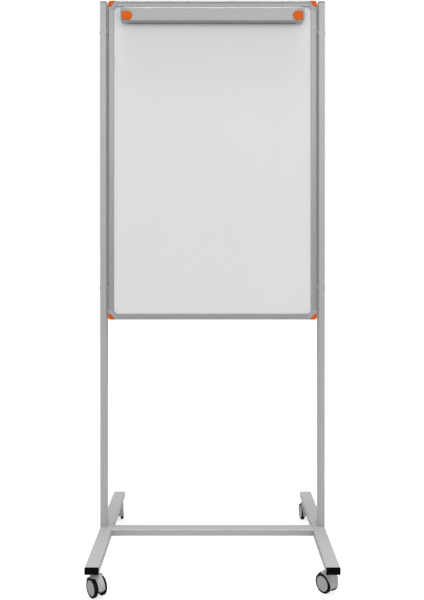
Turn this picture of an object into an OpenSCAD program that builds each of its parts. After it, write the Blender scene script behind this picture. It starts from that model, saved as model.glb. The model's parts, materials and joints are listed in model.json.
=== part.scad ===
// Mobile flipchart easel: two uprights on a castor base, a framed magnetic board and a sprung pad clamp.
// Millimetres. Origin on the floor under the middle of the stand, +X to the right of someone facing the
// board, +Y away from that person, +Z up.

/* [Stand] */
// Width over the outer faces of the two feet
stand_w = 710; // [640:10:800]
// Length of each foot over its end caps
foot_len = 600; // [520:10:760]
// Height of the underside of the feet above the floor
foot_clearance = 70; // [68:1:80]
// Height of the top of the uprights, caps included
upright_top = 1750; // [1500:10:1900]
// Distance of the crossbar's centre line in front of the uprights' centre line
crossbar_forward = 20; // [14:1:60]

/* [Tube] */
// Wide side of the rectangular tube
tube_w = 40; // [38:1:46]
// Narrow side of the rectangular tube
tube_t = 20; // [19:1:24]
// Wall thickness of the tube
tube_wall = 2; // [1.5:0.1:2.2]
// Radius of the tube's long edges
tube_edge_r = 2.5; // [2.3:0.1:3]
// Thickness of the visible rim of a tube end cap
cap_rim = 3; // [2:0.5:5]

/* [Board] */
// Height of the framed board
board_h = 1007; // [800:1:1200]
// Height of the board's top edge above the floor
board_top = 1752; // [1500:1:1900]
// Gap between each side of the board and its upright
board_gap = 5; // [4:0.5:6]
// Visible width of the frame rails
rail_face = 19; // [18:0.5:24]
// Depth of the frame, front to back
rail_depth = 17; // [17:0.5:20]
// Length of each leg of a corner piece
corner_leg = 29; // [27:0.5:34]
// Outer radius of a corner piece
corner_r = 8.5; // [5:0.5:10]

/* [Clamp] */
// Length of the clamp over its end caps
clamp_len = 575; // [540:5:595]
// Height of the clamp bar
clamp_h = 42; // [40:1:46]
// Depth of the clamp bar in front of its hinge axis
clamp_reach = 19; // [18:0.5:22]
// Diameter of the round part of the release button
button_d = 30; // [26:1:31]
// Travel of the release button
button_travel = 2.5; // [1.5:0.1:2.6]
// Distance of each pad peg from the middle
peg_x = 205; // [180:1:205]
// Travel of each pad peg to either side
peg_travel = 50; // [10:1:50]

/* [Castors] */
// Diameter of the wheels
wheel_d = 54; // [48:1:54]
// Distance of the wheel axle behind the swivel axis
castor_trail = 17; // [14:0.5:18]
// Distance of each swivel axis from the end of its foot
castor_inset = 38; // [34:1:60]
// Direction in which the front left castor trails, degrees from +X towards +Y
front_left_yaw = -51.5; // [-180:0.1:180]
// Direction in which the front right castor trails
front_right_yaw = 127.4; // [-180:0.1:180]
// Direction in which the rear left castor trails
rear_left_yaw = 97.5; // [-180:0.1:180]
// Direction in which the rear right castor trails
rear_right_yaw = 97.5; // [-180:0.1:180]

/* [Hidden] */
CASTORS = ["castor_front_left", "castor_front_right", "castor_rear_left", "castor_rear_right"];
CASTOR_PARTS = ["hood", "axle", "tyre_a", "tyre_b", "disc_a", "disc_b"];
$fn = 48;

SIDES = [-1, 1];
// Extra length that lets a cut run clean through a face
over = 1;
// Radial clearance of a pin in its running bore
running = 0.05;
// Gap between two pieces that are assembled one inside the other
fit_gap = 0.2;
// Gap between two faces that slide past each other
slide_slack = 0.1;

PAINT = [0.66, 0.68, 0.69];
BRIGHT = [0.76, 0.77, 0.78];
WHITE = [0.93, 0.94, 0.95];
GREY_PLASTIC = [0.62, 0.65, 0.68];
BLACK_PLASTIC = [0.07, 0.07, 0.08];
ORANGE = [0.86, 0.37, 0.07];
STEEL = [0.55, 0.56, 0.58];
RUBBER = [0.1, 0.1, 0.1];
CORE = [0.78, 0.72, 0.6];

// Stand
foot_x = stand_w / 2 - tube_w / 2;
foot_z = foot_clearance + tube_t / 2;
foot_top = foot_clearance + tube_t;
upright_x = stand_w / 2 - tube_t / 2;
upright_tube_top = upright_top - cap_rim;
crossbar_len = stand_w - 2 * tube_w;
inner_w = tube_w - 2 * tube_wall;
inner_t = tube_t - 2 * tube_wall;
insert_depth = 18;
end_block_len = 30;
spigot_h = 60;
block_edge_r = 1;

// Bolts: one size, M6 with a low head
bolt_r = 3;
bolt_len = 13;
bolt_head_r = 5;
bolt_head_h = 3.5;
bolt_key_r = 2.3;
bolt_key_depth = 2;
bolt_hole_r = 3.3;
access_hole_r = 6.5;
plug_stem_r = 6.4;
plug_rim_r = 7.4;
plug_rim_h = 0.8;
crossbar_bolt_offset = 12;
upright_bolt_offset = 10;

// Castors
castor_y = foot_len / 2 - castor_inset;
CASTOR_PLACES = [
    [-foot_x, -castor_y, front_left_yaw],
    [foot_x, -castor_y, front_right_yaw],
    [-foot_x, castor_y, rear_left_yaw],
    [foot_x, castor_y, rear_right_yaw]
];
wheel_r = wheel_d / 2;
disc_r = wheel_r - 6;
wheel_inner_v = 9;
tyre_w = 10.5;
tyre_shoulder = 1.5;
disc_w = 10.2;
axle_r = 3;
axle_seat_r = 3.02;
axle_half = 18.9;
stem_pin_r = 4;
stem_thread_r = 5;
stem_collar_r = 9;
stem_bottom = 36;
stem_thread_len = 16;
hood_top = foot_clearance - 6;
collar_gap = 0.3;
socket_r = 7.8;
hood_r = wheel_r + 4;
hood_wall = 2.5;
hood_half_w = 19.5;
hood_corner_r = 11;
hood_front_x = 8;
panel_half_w = 11.5;
hood_from = -15;
hood_to = 195;
sector_step = 15;
web_half_w = 8.5;
web_r = wheel_r + 3;
web_floor = wheel_r - 20;
boss_r = 8.5;
housing_r = 10;
housing_bottom = wheel_r + 25.5;

// Board
board_w = stand_w - 2 * tube_t - 2 * board_gap;
board_x = board_w / 2;
board_bottom = board_top - board_h;
board_front = -21;
rail_wall = 2;
rail_lip = 3;
rail_edge_r = 1.2;
rail_round_r = 5;
rail_cavity = 5;
rail_web = 1.5;
panel_edge = rail_wall + rail_cavity + rail_web + fit_gap;
panel_front = board_front + rail_lip;
panel_t = rail_depth - rail_lip - rail_wall;
surface_t = 0.5;
backing_t = 0.4;
cavity_mid = rail_wall + rail_cavity / 2;
cavity_mid_y = panel_front + panel_t / 2;
corner_proud = 0.5;
fillet_r = 14;
fillet_at = 33;
leaf_offset = 10;
leaf_r = 33.5;
leaf_depth = 2;
leaf_proud = 0.4;
lug_len = 24;
lug_slack = 0.2;
lug_screw_at = corner_leg + 12;
board_bolt_zs = [board_bottom + 100, board_top - 100];
spacer_r = 7;
nut_flats = 10;
nut_h = 4.6;
nut_gap = 0.1;
screw_r = 2;
screw_hole_r = 2.05;
screw_head_r = 3.5;
screw_head_h = 2;
corner_screw_len = 12;
rail_screw_len = 19;
RAIL_SCREW_XS = [-240, -120, 0, 120, 240];

// Clamp
rail_plate_t = 3;
plate_front = board_front - rail_plate_t;
hinge_y = plate_front - 7;
hinge_z = board_top - 36;
clamp_front = hinge_y - clamp_reach;
clamp_back = plate_front - 1;
clamp_top = hinge_z + 6;
clamp_bottom = clamp_top - clamp_h;
clamp_wall = 2.5;
clamp_edge_r = 3;
clamp_seam = clamp_len / 2 - 22.2;
plate_half_len = board_x - corner_leg - 1;
plate_low_half_len = clamp_len / 2 - 7.5;
plate_bottom = hinge_z - 28;
plate_band_bottom = board_top - rail_face;
plate_top = board_top - 1;
bead_r = 2.2;
bead_z = board_top - 6;
top_wall_back = hinge_y - 7;
hinge_pin_r = 2.5;
knuckle_r = 5;
knuckle_x = 235;
knuckle_half = 4;
knuckle_foot_half = 5.5;
knuckle_foot_t = 1.5;
knuckle_foot_top = hinge_z + 6;
bar_lug_r = 4.5;
BAR_LUG_XS = [222, 244];
bar_lug_half = 4;
pin_from = 217;
pin_to = 249;
pin_head_r = 3.8;
pin_head_h = 1.5;
spring_wire_r = 0.6;
spring_mean_r = 3.7;
spring_turns = 3;
spring_from = 226.7;
grip_t = 4;
grip_bite = 0.3;
grip_seat = 4;

// Release buttons
button_r = button_d / 2;
button_z = clamp_bottom + 17;
button_tail = clamp_len / 2 - 4.8;
button_tail_h = button_r * 1.85;
button_proud = 1.5;
button_slot = 0.3;
button_rim = 1;
button_rim_t = 1.5;
button_stem_r = 4;
button_stem_x = clamp_seam + 6.7;
button_stem_end = clamp_front + 13;
guide_gap = 0.4;
guide_y = clamp_front + clamp_wall + slide_slack + button_rim_t + button_travel + guide_gap;
guide_t = 2;
end_corner_low_r = 8;
end_corner_high_r = 3;
tongue_len = 15;
tongue_t = 2.4;

// Pad pegs
peg_z = hinge_z - 20;
peg_neck_r = 3;
peg_slot_r = 3.1;
peg_slot_over = 0.5;
peg_r = 4;
peg_collar_r = 5;
peg_collar_t = 2;
peg_flange_r = 6;
peg_flange_t = 2;
peg_front = plate_front - 11;
peg_tip = 1;

// ---- shared shapes ----

// Rectangle with round corners, centred
module round_rect(w, h, r) {
    square([w - 2 * r, h], center = true);
    square([w, h - 2 * r], center = true);
    for (x = SIDES, y = SIDES)
        translate([x * (w / 2 - r), y * (h / 2 - r)]) circle(r);
}

module tube_section() {
    difference() {
        round_rect(tube_w, tube_t, tube_edge_r);
        round_rect(inner_w, inner_t, tube_edge_r - tube_wall);
    }
}

// Section drawn as (y, z), run along x
module along_x(from, to) {
    translate([from, 0, 0]) rotate([90, 0, 90]) linear_extrude(to - from) children();
}

// Section drawn as (x, z), run along y
module along_y(from, to) {
    translate([0, to, 0]) rotate([90, 0, 0]) linear_extrude(to - from) children();
}

// Plug that fills the end of a tube, with its rim at z = 0 and up
module tube_plug() {
    linear_extrude(cap_rim) round_rect(tube_w, tube_t, tube_edge_r);
    translate([0, 0, -insert_depth])
        linear_extrude(insert_depth) round_rect(inner_w - fit_gap, inner_t - fit_gap, block_edge_r);
}

// M6 bolt whose head sits below z = 0 and whose shank runs up
module bolt() {
    difference() {
        union() {
            translate([0, 0, -bolt_head_h]) cylinder(r = bolt_head_r, h = bolt_head_h);
            cylinder(r = bolt_r, h = bolt_len);
        }
        translate([0, 0, -bolt_head_h - over]) cylinder(r = bolt_key_r, h = bolt_key_depth + over, $fn = 6);
    }
}

// Places where bolts go, each with z along the shank and the inner wall's inner face at z = 0
module at_crossbar_bolts() {
    for (side = SIDES, step = SIDES)
        translate([
            side * (crossbar_len / 2 + tube_wall),
            -crossbar_forward + step * crossbar_bolt_offset,
            foot_z
        ]) rotate([0, -90 * side, 0]) children();
}

module at_upright_bolts() {
    for (side = SIDES, step = SIDES)
        translate([side * upright_x, step * upright_bolt_offset, foot_top - tube_wall]) children();
}

module at_board_bolts() {
    for (side = SIDES, z = board_bolt_zs)
        translate([side * (upright_x - tube_t / 2 + tube_wall), cavity_mid_y, z])
            rotate([0, -90 * side, 0]) children();
}

// Clearance hole for the shank and, across the tube, the hole that lets the head in
module bolt_way(across) {
    translate([0, 0, -tube_wall]) cylinder(r = bolt_hole_r, h = 2 * tube_wall + over);
    translate([0, 0, -across + tube_wall - over]) cylinder(r = access_hole_r, h = tube_wall + 2 * over);
}

// ---- stand ----

module foot(side) {
    color(PAINT) difference() {
        translate([side * foot_x, 0, foot_z])
            rotate([90, 0, 0]) linear_extrude(foot_len - 2 * cap_rim, center = true) tube_section();
        at_crossbar_bolts() bolt_way(tube_w);
        at_upright_bolts() bolt_way(tube_t);
        for (place = CASTOR_PLACES)
            translate([place[0], place[1], foot_clearance - over])
                cylinder(r = stem_thread_r + fit_gap, h = tube_wall + 2 * over);
    }
}

module foot_end_caps() {
    color(BLACK_PLASTIC) for (x = SIDES, y = SIDES)
        translate([x * foot_x, y * (foot_len / 2 - cap_rim), foot_z])
            rotate([-90 * y, 0, 0]) tube_plug();
}

module crossbar() {
    color(PAINT) translate([0, -crossbar_forward, foot_z])
        along_x(-crossbar_len / 2, crossbar_len / 2) tube_section();
}

module crossbar_end_blocks() {
    color(GREY_PLASTIC) for (side = SIDES) difference() {
        translate([side * (crossbar_len - end_block_len) / 2, -crossbar_forward, foot_z])
            along_x(-end_block_len / 2, end_block_len / 2)
                round_rect(inner_w - fit_gap, inner_t - fit_gap, block_edge_r);
        at_crossbar_bolts() cylinder(r = bolt_r + running, h = end_block_len);
    }
}

module upright(side) {
    color(PAINT) difference() {
        translate([side * upright_x, 0, foot_top])
            rotate([0, 0, 90]) linear_extrude(upright_tube_top - foot_top) tube_section();
        at_board_bolts() bolt_way(tube_t);
    }
}

module upright_top_caps() {
    color(BLACK_PLASTIC) for (side = SIDES)
        translate([side * upright_x, 0, upright_tube_top]) rotate([0, 0, 90]) tube_plug();
}

module upright_spigots() {
    color(GREY_PLASTIC) difference() {
        for (side = SIDES)
            translate([side * upright_x, 0, foot_top])
                rotate([0, 0, 90]) linear_extrude(spigot_h)
                    round_rect(inner_w - fit_gap, inner_t - fit_gap, block_edge_r);
        at_upright_bolts() cylinder(r = bolt_r + running, h = bolt_len + tube_wall);
    }
}

// Hexagon nut behind a side rail of the board
module board_nut() {
    nut_r = nut_flats / 2 / cos(30);
    nut_z = tube_wall + board_gap + rail_wall + nut_gap;
    translate([0, 0, nut_z]) difference() {
        rotate([0, 0, 30]) cylinder(r = nut_r, h = nut_h, $fn = 6);
        translate([0, 0, -over]) cylinder(r = bolt_r + running, h = nut_h + 2 * over);
    }
}

// All M6 bolts, with the nuts of those that hold the board
module frame_bolts() {
    color(STEEL) {
        at_crossbar_bolts() bolt();
        at_upright_bolts() bolt();
        at_board_bolts() {
            bolt();
            board_nut();
        }
    }
}

// Black plugs that close the holes the bolt heads went in by
module access_plug(across) {
    translate([0, 0, -across + tube_wall]) {
        cylinder(r = plug_stem_r, h = tube_wall);
        translate([0, 0, -plug_rim_h]) cylinder(r = plug_rim_r, h = plug_rim_h);
    }
}

module access_plugs() {
    color(BLACK_PLASTIC) {
        at_crossbar_bolts() access_plug(tube_w);
        at_upright_bolts() access_plug(tube_t);
        at_board_bolts() access_plug(tube_t);
    }
}

// ---- board ----

// Section of a frame rail as (inwards, backwards) from its outer front edge, which is well rounded
module rail_section() {
    difference() {
        translate([rail_face / 2, rail_depth / 2]) round_rect(rail_face, rail_depth, rail_edge_r);
        difference() {
            translate([-over, -over]) square(rail_round_r + over);
            translate([rail_round_r, rail_round_r]) circle(rail_round_r);
        }
        translate([rail_wall, rail_lip]) square([rail_cavity, panel_t]);
        translate([rail_wall + rail_cavity + rail_web, rail_lip]) square([rail_face, panel_t]);
    }
}

// Places of the corners: x inwards from the side, y backwards, z inwards from the top or bottom edge
module at_corners() {
    for (side = SIDES, end = [0, 1])
        translate([side * board_x, board_front, end == 0 ? board_bottom : board_top])
            mirror([side > 0 ? 1 : 0, 0, 0]) mirror([0, 0, end]) children();
}

// Shape drawn as (inwards, along the height), run backwards
module corner_slab(from, to) {
    translate([0, to, 0]) rotate([90, 0, 0]) linear_extrude(to - from) children();
}

module screw_holes() {
    at_corners() for (at = [[cavity_mid, lug_screw_at], [lug_screw_at, cavity_mid]])
        translate([at[0], rail_lip, at[1]]) rotate([-90, 0, 0]) cylinder(r = screw_hole_r, h = rail_depth);
    for (x = RAIL_SCREW_XS)
        translate([x, plate_front + over, board_top - cavity_mid])
            rotate([-90, 0, 0]) cylinder(r = screw_hole_r, h = rail_depth + rail_plate_t);
}

module side_rail(side) {
    color(BRIGHT) difference() {
        mirror([side > 0 ? 1 : 0, 0, 0])
            translate([-board_x, board_front, board_bottom + corner_leg])
                linear_extrude(board_h - 2 * corner_leg) rail_section();
        at_board_bolts() cylinder(r = bolt_hole_r, h = board_gap + 2 * rail_wall + over);
        screw_holes();
    }
}

// end is 1 for the top rail and 0 for the bottom rail
module cross_rail(end) {
    rail_len = board_w - 2 * corner_leg;
    color(BRIGHT) difference() {
        translate([-rail_len / 2, board_front, end == 1 ? board_top : board_bottom])
            mirror([0, 0, 1 - end]) rotate([0, 90, 0]) linear_extrude(rail_len) rail_section();
        screw_holes();
    }
}

module corner_outline() {
    difference() {
        union() {
            translate([corner_r, 0]) square([corner_leg - corner_r, corner_leg]);
            translate([0, corner_r]) square([corner_leg, corner_leg - corner_r]);
            translate([corner_r, corner_r]) circle(corner_r);
        }
        translate([fillet_at, fillet_at]) circle(fillet_r);
    }
}

module leaf_outline(gap) {
    intersection() {
        corner_outline();
        translate([-leaf_offset, -leaf_offset]) circle(leaf_r - gap);
    }
}

module corner_lug() {
    translate([rail_wall + lug_slack, rail_lip + lug_slack, corner_leg - over])
        cube([rail_cavity - 2 * lug_slack, panel_t - 2 * lug_slack, lug_len + over]);
}

module frame_corners() {
    pocket = panel_edge - fit_gap;
    color(GREY_PLASTIC) difference() {
        at_corners() difference() {
            union() {
                corner_slab(-corner_proud, rail_depth + corner_proud) corner_outline();
                corner_lug();
                mirror([1, 0, -1]) corner_lug();
            }
            corner_slab(-corner_proud - over, leaf_depth) leaf_outline(0);
            translate([pocket, rail_lip, pocket]) cube([corner_leg, panel_t, corner_leg]);
        }
        screw_holes();
    }
}

module corner_inserts() {
    color(ORANGE) at_corners()
        corner_slab(-corner_proud - leaf_proud, leaf_depth) leaf_outline(running);
}

// One layer of the panel, from its front face to its back face
module panel_layer(front, back) {
    translate([-board_x + panel_edge, front, board_bottom + panel_edge])
        cube([board_w - 2 * panel_edge, back - front, board_h - 2 * panel_edge]);
}

module board_surface_sheet() {
    color(WHITE) panel_layer(panel_front, panel_front + surface_t);
}

module board_core() {
    color(CORE) panel_layer(panel_front + surface_t, panel_front + panel_t - backing_t);
}

module board_backing_sheet() {
    color(STEEL) panel_layer(panel_front + panel_t - backing_t, panel_front + panel_t);
}

// Pan-head screw driven forwards from the back of the frame
module back_screw(len) {
    rotate([90, 0, 0]) cylinder(r = screw_r, h = len);
    rotate([-90, 0, 0]) cylinder(r = screw_head_r, h = screw_head_h);
}

module frame_screws() {
    color(STEEL) {
        at_corners() for (at = [[cavity_mid, lug_screw_at], [lug_screw_at, cavity_mid]])
            translate([at[0], rail_depth, at[1]]) back_screw(corner_screw_len);
        for (x = RAIL_SCREW_XS)
            translate([x, board_front + rail_depth, board_top - cavity_mid]) back_screw(rail_screw_len);
    }
}

module board_spacers() {
    color(GREY_PLASTIC) at_board_bolts() translate([0, 0, tube_wall]) difference() {
        cylinder(r = spacer_r, h = board_gap);
        translate([0, 0, -over]) cylinder(r = bolt_hole_r, h = board_gap + 2 * over);
    }
}

// ---- clamp ----

// Places on the hinge axis, with z running outwards along it
module on_hinge_axis(distance) {
    for (side = SIDES)
        translate([side * distance, hinge_y, hinge_z]) rotate([0, 90 * side, 0]) children();
}

module hinge_bores() {
    on_hinge_axis(pin_from - over) cylinder(r = hinge_pin_r + running, h = pin_to - pin_from + 2 * over);
}

// Flat rail behind the clamp: a beaded band on the frame's top rail, and a shorter plate below it
module clamp_hinge_rail() {
    color(BRIGHT) difference() {
        union() {
            along_x(-plate_half_len, plate_half_len) {
                translate([plate_front, plate_band_bottom])
                    square([rail_plate_t, plate_top - plate_band_bottom]);
                translate([plate_front, bead_z]) circle(bead_r);
            }
            along_x(-plate_low_half_len, plate_low_half_len)
                translate([plate_front, plate_bottom])
                    square([rail_plate_t, plate_band_bottom - plate_bottom + over]);
        }
        screw_holes();
        for (side = SIDES) {
            reach = peg_travel + peg_slot_over;
            translate([side * peg_x - reach, plate_front - over, peg_z - peg_slot_r])
                cube([2 * reach, rail_plate_t + 2 * over, 2 * peg_slot_r]);
            for (end = SIDES)
                translate([side * peg_x + end * reach, plate_front - over, peg_z])
                    rotate([-90, 0, 0]) cylinder(r = peg_slot_r, h = rail_plate_t + 2 * over);
        }
    }
}

// Knuckles on the hinge rail, each on a small foot
module clamp_hinge_knuckles() {
    foot_bottom = hinge_z - knuckle_r;
    color(BRIGHT) difference() {
        for (side = SIDES) translate([side * knuckle_x, 0, 0]) {
            along_x(-knuckle_half, knuckle_half) {
                translate([hinge_y, hinge_z]) circle(knuckle_r);
                translate([hinge_y, foot_bottom]) square([plate_front - hinge_y, 2 * knuckle_r]);
            }
            along_x(-knuckle_foot_half, knuckle_foot_half)
                translate([plate_front - knuckle_foot_t, foot_bottom])
                    square([knuckle_foot_t, knuckle_foot_top - foot_bottom]);
        }
        hinge_bores();
    }
}

module clamp_hinge_pins() {
    color(STEEL) on_hinge_axis(pin_from) {
        cylinder(r = hinge_pin_r, h = pin_to - pin_from);
        translate([0, 0, pin_to - pin_from]) cylinder(r = pin_head_r, h = pin_head_h);
    }
}

// Torsion springs round the hinge pins, as closed coils on a thin sleeve
module clamp_springs() {
    color(STEEL) on_hinge_axis(spring_from) rotate_extrude() {
        for (turn = [0 : spring_turns - 1])
            translate([spring_mean_r, spring_wire_r * (1 + 2 * turn)]) circle(spring_wire_r);
        translate([spring_mean_r - spring_wire_r / 2, spring_wire_r])
            square([spring_wire_r, spring_wire_r * 2 * (spring_turns - 1)]);
    }
}

// Outer outline of the clamp as (y, z), rounded at the front
module clamp_outline() {
    depth = clamp_back - clamp_front;
    intersection() {
        translate([clamp_front + depth, clamp_bottom + clamp_h / 2])
            round_rect(2 * depth, clamp_h, clamp_edge_r);
        translate([clamp_front - over, clamp_bottom - over])
            square([depth + over, clamp_h + 2 * over]);
    }
}

module clamp_hollow() {
    translate([clamp_front + clamp_wall, clamp_bottom + clamp_wall])
        square([clamp_h, clamp_h - 2 * clamp_wall]);
}

// Release button seen from the front as (x, z): a circle with a straight tail to the outer end
module button_outline(side, grow) {
    translate([side * clamp_seam, button_z]) {
        circle(button_r + grow);
        translate([side > 0 ? 0 : clamp_seam - button_tail - grow, -button_tail_h / 2 - grow])
            square([button_tail - clamp_seam + grow, button_tail_h + 2 * grow]);
    }
}

module button_slots() {
    for (side = SIDES)
        along_y(clamp_front - over, clamp_front + clamp_wall + over) button_outline(side, button_slot);
}

// Part of the section's lower wall that lies behind its front wall
module lip_area() {
    translate([clamp_front + clamp_wall + over, clamp_bottom - over]) square([clamp_h, clamp_wall + over]);
}

// Lower wall of the clamp's section, which carries the grip strip
module clamp_lip() {
    color(BRIGHT) along_x(-clamp_seam, clamp_seam) intersection() {
        clamp_outline();
        lip_area();
    }
}

module clamp_bar() {
    color(BRIGHT) difference() {
        union() {
            along_x(-clamp_seam, clamp_seam) difference() {
                clamp_outline();
                clamp_hollow();
                lip_area();
                translate([top_wall_back, clamp_top - clamp_wall - over])
                    square([clamp_h, clamp_wall + 2 * over]);
            }
            for (side = SIDES, x = BAR_LUG_XS)
                translate([side * x, 0, 0]) along_x(-bar_lug_half, bar_lug_half) {
                    translate([hinge_y, hinge_z]) circle(bar_lug_r);
                    translate([clamp_front + clamp_wall / 2, hinge_z - bar_lug_r])
                        square([clamp_reach - clamp_wall / 2, clamp_top - clamp_wall - hinge_z + bar_lug_r]);
                }
        }
        hinge_bores();
        button_slots();
    }
}

// End wall outline: cut back behind the hinge so that it clears the hinge rail as the clamp opens
module end_outline() {
    difference() {
        clamp_outline();
        polygon([
            [hinge_y - 5, clamp_top + over],
            [hinge_y - 5, clamp_top],
            [hinge_y + 2, hinge_z - 2],
            [clamp_back, hinge_z - 4],
            [clamp_back + over, hinge_z - 4],
            [clamp_back + over, clamp_top + over]
        ]);
    }
}

// End of the clamp seen from the front as (x, z), round at its outer corners
module end_plan() {
    end_x = clamp_len / 2;
    difference() {
        translate([clamp_seam, clamp_bottom]) square([end_x - clamp_seam, clamp_h]);
        translate([end_x - end_corner_low_r, clamp_bottom - over])
            square([end_corner_low_r + over, end_corner_low_r + over]);
        translate([end_x - end_corner_high_r, clamp_top - end_corner_high_r])
            square([end_corner_high_r + over, end_corner_high_r + over]);
    }
    translate([end_x - end_corner_low_r, clamp_bottom + end_corner_low_r]) circle(end_corner_low_r);
    translate([end_x - end_corner_high_r, clamp_top - end_corner_high_r]) circle(end_corner_high_r);
}

module end_cap() {
    end_x = clamp_len / 2;
    difference() {
        intersection() {
            along_x(clamp_seam, end_x) end_outline();
            along_y(clamp_front, clamp_back) end_plan();
        }
        along_x(clamp_seam - over, end_x - clamp_wall) difference() {
            clamp_hollow();
            translate([guide_y, clamp_bottom]) square([guide_t, clamp_h]);
        }
        translate([button_stem_x, guide_y - over, button_z])
            rotate([-90, 0, 0]) cylinder(r = button_stem_r + running, h = guide_t + 2 * over);
    }
    translate([clamp_seam - tongue_len, guide_y, clamp_bottom + clamp_wall])
        cube([tongue_len + over, 2 * guide_t, tongue_t]);
}

module clamp_end_caps() {
    color(GREY_PLASTIC) difference() {
        for (turn = [0, 1]) mirror([turn, 0, 0]) end_cap();
        button_slots();
    }
}

// Rubber strip on the rear edge of the bar's lower wall, which presses the paper on the board
module clamp_grip_strip() {
    color(RUBBER) along_x(-clamp_seam + over, clamp_seam - over) {
        translate([clamp_back, clamp_bottom + grip_bite])
            square([panel_front - grip_bite - clamp_back, grip_t]);
        translate([clamp_back - grip_seat, clamp_bottom + clamp_wall])
            square([grip_seat + over, grip_t + grip_bite - clamp_wall]);
    }
}

// Children drawn as (x, z), trimmed where they would reach the bar's lower wall
module above_lower_wall() {
    intersection() {
        children();
        translate([-clamp_len / 2, clamp_bottom + clamp_wall + slide_slack]) square([clamp_len, clamp_h]);
    }
}

module clamp_button(side) {
    rim_y = clamp_front + clamp_wall + slide_slack;
    color(ORANGE) {
        along_y(clamp_front - button_proud, rim_y) above_lower_wall() button_outline(side, 0);
        along_y(rim_y, rim_y + button_rim_t) above_lower_wall() button_outline(side, button_rim);
        translate([side * button_stem_x, rim_y, button_z])
            rotate([-90, 0, 0]) cylinder(r = button_stem_r, h = button_stem_end - rim_y);
    }
}

// Peg that a pad hangs on; its neck slides in a slot of the hinge rail
module pad_peg(side) {
    color(BLACK_PLASTIC) translate([side * peg_x, 0, peg_z]) rotate([90, 0, 0]) rotate_extrude() {
        flange_z = -board_front - slide_slack;
        collar_z = -plate_front + slide_slack;
        translate([0, flange_z - peg_flange_t]) square([peg_flange_r, peg_flange_t]);
        translate([0, flange_z - over]) square([peg_neck_r, collar_z - flange_z + 2 * over]);
        translate([0, collar_z]) square([peg_collar_r, peg_collar_t]);
        polygon([
            [0, collar_z + peg_collar_t - over],
            [peg_r, collar_z + peg_collar_t - over],
            [peg_r, -peg_front - peg_tip],
            [peg_r - peg_tip, -peg_front],
            [0, -peg_front]
        ]);
    }
}

// ---- castors ----

// Children drawn with the swivel axis on z and the wheels trailing along +x
module at_castor(place) {
    translate([place[0], place[1], 0]) rotate([0, 0, place[2]]) children();
}

module castor_stems() {
    color(STEEL) for (place = CASTOR_PLACES) at_castor(place) {
        translate([0, 0, stem_bottom]) cylinder(r = stem_pin_r, h = foot_clearance - stem_bottom);
        translate([0, 0, hood_top + collar_gap])
            cylinder(r = stem_collar_r, h = foot_clearance - hood_top - collar_gap);
        translate([0, 0, foot_clearance - over]) cylinder(r = stem_thread_r, h = stem_thread_len + over);
    }
}

module castor_sockets() {
    color(STEEL) for (place = CASTOR_PLACES)
        translate([place[0], place[1], foot_clearance + tube_wall]) difference() {
            cylinder(r = socket_r, h = inner_t);
            translate([0, 0, -over]) cylinder(r = stem_thread_r + running, h = inner_t + 2 * over);
        }
}

// Part of the plane between two directions from the wheel centre
module hood_sector() {
    reach = 2 * hood_r;
    polygon(concat(
        [[0, 0]],
        [for (a = [hood_from : sector_step : hood_to]) [reach * cos(a), reach * sin(a)]]
    ));
}

// Plan of the hood's skin as (x, y) about the wheel centre: full width over the wheels on the stem's side,
// and a narrower panel down the trailing side
module hood_plan() {
    hood_len = hood_r + hood_front_x;
    translate([hood_front_x - hood_len / 2, 0]) round_rect(hood_len, 2 * hood_half_w, hood_corner_r);
    translate([0, -panel_half_w]) square([hood_r + over, 2 * panel_half_w]);
}

module hood_skin() {
    intersection() {
        rotate([90, 0, 0]) linear_extrude(2 * hood_half_w + over, center = true) difference() {
            intersection() {
                circle(hood_r);
                hood_sector();
            }
            circle(hood_r - hood_wall);
        }
        linear_extrude(4 * hood_r, center = true) hood_plan();
    }
}

// Web between the wheels, which carries the axle
module hood_web() {
    rotate([90, 0, 0]) linear_extrude(2 * web_half_w, center = true) intersection() {
        circle(web_r);
        translate([-web_r, -web_floor]) square([2 * web_r, web_r + web_floor]);
    }
}

module castor_hood() {
    color(GREY_PLASTIC) difference() {
        union() {
            translate([castor_trail, 0, wheel_r]) {
                hood_skin();
                hood_web();
            }
            // boss that turns on the stem, and the raised housing at its top
            translate([0, 0, stem_bottom]) cylinder(r = boss_r, h = hood_top - stem_bottom);
            translate([0, 0, housing_bottom]) cylinder(r = housing_r, h = hood_top - housing_bottom);
        }
        translate([0, 0, stem_bottom - over]) cylinder(r = stem_pin_r + running, h = foot_clearance);
        translate([castor_trail, 0, wheel_r])
            rotate([90, 0, 0]) cylinder(r = axle_seat_r, h = 4 * hood_half_w, center = true);
    }
}

module castor_axle() {
    color(STEEL) translate([castor_trail, 0, wheel_r])
        rotate([90, 0, 0]) cylinder(r = axle_r, h = 2 * axle_half, center = true);
}

// Wheel pieces, drawn with z outwards from the inner face; side is 1 or -1
module on_axle(side) {
    translate([castor_trail, side * wheel_inner_v, wheel_r]) rotate([-90 * side, 0, 0]) children();
}

module castor_tyre(side) {
    seat_r = disc_r + running;
    color(BLACK_PLASTIC) on_axle(side) rotate_extrude() polygon([
        [seat_r, 0],
        [wheel_r - tyre_shoulder, 0],
        [wheel_r, tyre_shoulder],
        [wheel_r, tyre_w - tyre_shoulder],
        [wheel_r - tyre_shoulder, tyre_w],
        [seat_r, tyre_w]
    ]);
}

// Wheel disc with a shallow dish and a raised centre
module castor_disc(side) {
    bore_r = axle_r + running;
    centre_r = 6;
    dish = 0.9;
    color(GREY_PLASTIC) on_axle(side) rotate_extrude() polygon([
        [bore_r, 0],
        [disc_r, 0],
        [disc_r, disc_w - dish / 2],
        [disc_r - dish, disc_w],
        [centre_r + dish, disc_w - dish],
        [centre_r, disc_w - dish / 2],
        [bore_r, disc_w - dish / 2]
    ]);
}

// ---- the nodes ----

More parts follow.
